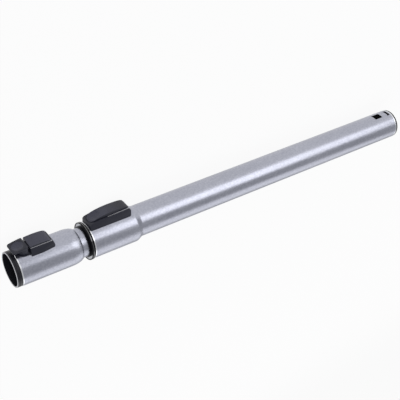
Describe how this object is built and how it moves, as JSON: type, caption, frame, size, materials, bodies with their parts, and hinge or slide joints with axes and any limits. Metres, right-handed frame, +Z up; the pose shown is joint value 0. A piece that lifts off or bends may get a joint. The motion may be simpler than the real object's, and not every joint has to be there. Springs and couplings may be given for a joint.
{
  "type": "telescopic vacuum wand",
  "caption": "Straight two-tube telescopic suction wand with a bell socket and rocker latch at the handle end, a thumb length lock and a plain lower tube for a floor tool.",
  "frame": {"origin": "centre of the handle socket's mouth, on the tube axis", "axes": "+X along the tubes from the mouth to the lower end, +Z up with the wand lying on its side, its buttons towards +Y and a little down"},
  "size_m": [0.523, 0.0529, 0.0423],
  "materials": {
    "satin_tube": "satin anodised",
    "gloss_black": "glossy moulded",
    "liner_black": "semi-matt moulded",
    "moulded_black": "fine textured moulded",
    "button_black": "fine textured moulded",
    "sleeve_grey": "natural moulded",
    "felt_grey": "felt",
    "seal_black": "matt",
    "pin_steel": "ground",
    "spring_steel": "drawn"
  },
  "bodies": {
    "lower_tube": {"outer_tube": "satin_tube", "end_collar": "gloss_black", "wiper_seal": "felt_grey", "guide_sleeve": "sleeve_grey", "lock_housing": "moulded_black", "button_pin": "pin_steel", "button_spring": "spring_steel"},
    "length_button": {"length_button": "button_black", "lock_tooth": "pin_steel"},
    "upper_tube": {"inner_tube": "satin_tube", "tail_bush": "sleeve_grey", "tail_seal": "seal_black", "socket_liner": "liner_black", "latch_base": "moulded_black", "latch_cover": "moulded_black", "latch_pin": "pin_steel", "latch_spring": "spring_steel"},
    "handle_latch": {"latch_rocker": "button_black"}
  },
  "joints": [
    {"name": "wand_slide", "type": "slide", "parent": "lower_tube", "child": "upper_tube", "axis": [-1, 0, 0], "range_m": [0, 0.3]},
    {"name": "length_button_press", "type": "hinge", "parent": "lower_tube", "child": "length_button", "pos_m": [0.106, 0.02288, -0.01102], "axis": [0, 0.4339, 0.9009], "range_deg": [0, 7], "stiffness_Nm_per_rad": 0.4, "springref_deg": -8.59, "deforming": ["button_spring"]},
    {"name": "handle_latch_press", "type": "hinge", "parent": "upper_tube", "child": "handle_latch", "pos_m": [0.0258, 0.02081, -0.01002], "axis": [0, 0.4339, 0.9009], "range_deg": [0, 7], "stiffness_Nm_per_rad": 0.4, "springref_deg": -8.59, "deforming": ["latch_spring"]}
  ]
}
